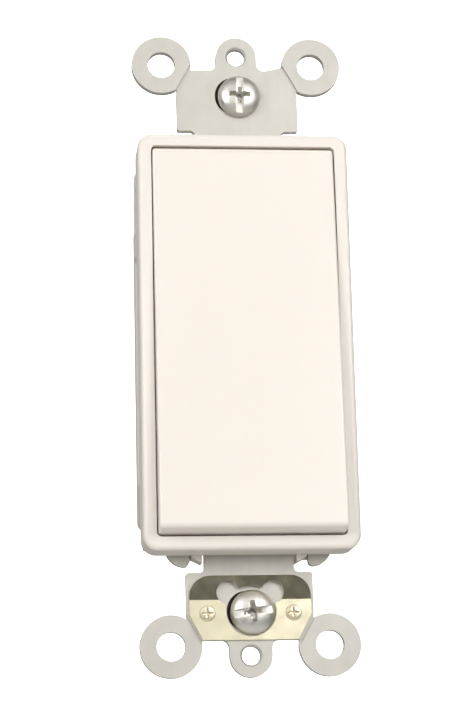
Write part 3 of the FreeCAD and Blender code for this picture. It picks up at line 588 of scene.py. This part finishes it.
FLOOR_Z = -0.35
FLOOR_FRONT = -0.5
WALL_Y = 0.75
HALF_WIDTH = 3
WALL_TOP = 3
WALL_TONE = 0.97
WALL_GLOW = 1.1
near = [(-HALF_WIDTH, FLOOR_FRONT, FLOOR_Z), (HALF_WIDTH, FLOOR_FRONT, FLOOR_Z)]
far = [(HALF_WIDTH, WALL_Y, FLOOR_Z), (-HALF_WIDTH, WALL_Y, FLOOR_Z)]
top = [(HALF_WIDTH, WALL_Y, WALL_TOP), (-HALF_WIDTH, WALL_Y, WALL_TOP)]
stage_plane("floor", near + far, 0.95)
stage_plane("backdrop", far[::-1] + top, WALL_TONE, WALL_GLOW)

# three more pale walls close the room for views from the sides and the rear, and cast no shadow
ROOM = 2.5
for word, start, stop in (
    ("room_front", (-ROOM, -ROOM), (ROOM, -ROOM)),
    ("room_left", (-ROOM, WALL_Y), (-ROOM, -ROOM)),
    ("room_right", (ROOM, -ROOM), (ROOM, WALL_Y)),
):
    corners = [(*start, -ROOM), (*stop, -ROOM), (*stop, ROOM), (*start, ROOM)]
    wall = stage_plane(word, corners, WALL_TONE, WALL_GLOW)
    wall.visible_shadow = False


def area_light(name, place, size, power, colour=(1, 1, 1)):
    """A rectangular lamp that points at the object's middle."""
    data = bpy.data.lights.new(name, "AREA")
    data.shape = "RECTANGLE"
    data.size, data.size_y = size
    data.energy = power
    data.color = colour
    lamp = bpy.data.objects.new(name, data)
    lamp.location = place
    lamp.rotation_euler = (-Vector(place)).to_track_quat("-Z", "Y").to_euler()
    bpy.context.collection.objects.link(lamp)


area_light("key", (0.50, -0.95, 0.28), (0.5, 0.6), 4.9, (1.0, 0.99, 0.97))
area_light("fill", (-0.85, -0.85, 0.30), (0.6, 0.7), 6.7, (1.0, 0.985, 0.965))
area_light("back", (0.1, 0.60, 0.65), (0.5, 0.4), 6.0)

world = bpy.data.worlds.new("studio")
bpy.context.scene.world = world
world.use_nodes = True
room = world.node_tree
background = room.nodes["Background"]
background.inputs["Strength"].default_value = 0.75


def room_band(word, low, high, low_tone, high_tone):
    """The room's brightness along one axis of the view direction."""
    coords = room.nodes.new("ShaderNodeTexCoord")
    split = room.nodes.new("ShaderNodeSeparateXYZ")
    band = room.nodes.new("ShaderNodeMapRange")
    band.interpolation_type = "SMOOTHSTEP"
    band.inputs["From Min"].default_value = low
    band.inputs["From Max"].default_value = high
    band.inputs["To Min"].default_value = low_tone
    band.inputs["To Max"].default_value = high_tone
    room.links.new(coords.outputs["Generated"], split.inputs["Vector"])
    room.links.new(split.outputs[word], band.inputs["Value"])
    return band.outputs["Result"]


def room_math(kind, a, b):
    """One arithmetic step on two of the room's values."""
    node = room.nodes.new("ShaderNodeMath")
    node.operation = kind
    room.links.new(a, node.inputs[0])
    room.links.new(b, node.inputs[1])
    return node.outputs["Value"]


# bright above the table edge and in front; the sides and the back are dim, and the table is pale
above = room_band("Z", -0.08, 0.08, 0.12, 1.0)
below = room_band("Z", -0.85, -0.38, 4.8, 0.0)
ahead = room_band("Y", -0.85, -0.2, 1.0, 0.42)
tone = room.nodes.new("ShaderNodeMix")
tone.data_type = "RGBA"
tone.inputs[6].default_value = (0.0, 0.0, 0.0, 1.0)
tone.inputs[7].default_value = (1.0, 0.985, 0.96, 1.0)
room.links.new(room_math("MULTIPLY", room_math("ADD", above, below), ahead), tone.inputs["Factor"])
room.links.new(tone.outputs[2], background.inputs["Color"])

# the camera stands low and to the left, looks slightly up, and is rolled a little
STATION = Vector((-0.03710, -0.31869, -0.07669))
AHEAD = Vector((0.1082, 0.9670, 0.2308)).normalized()
ROLLED_LEVEL = Vector((0.99413, -0.10546, -0.02423))
camera_data = bpy.data.cameras.new("camera")
camera_data.sensor_width = 36.0
camera_data.lens = 106.7
camera = bpy.data.objects.new("camera", camera_data)
up = ROLLED_LEVEL.cross(AHEAD).normalized()
right = AHEAD.cross(up)
turn = Matrix((right, up, -AHEAD)).transposed()
camera.matrix_world = Matrix.Translation(STATION) @ turn.to_4x4()
bpy.context.collection.objects.link(camera)
bpy.context.scene.camera = camera
bpy.context.scene.view_settings.view_transform = "Standard"
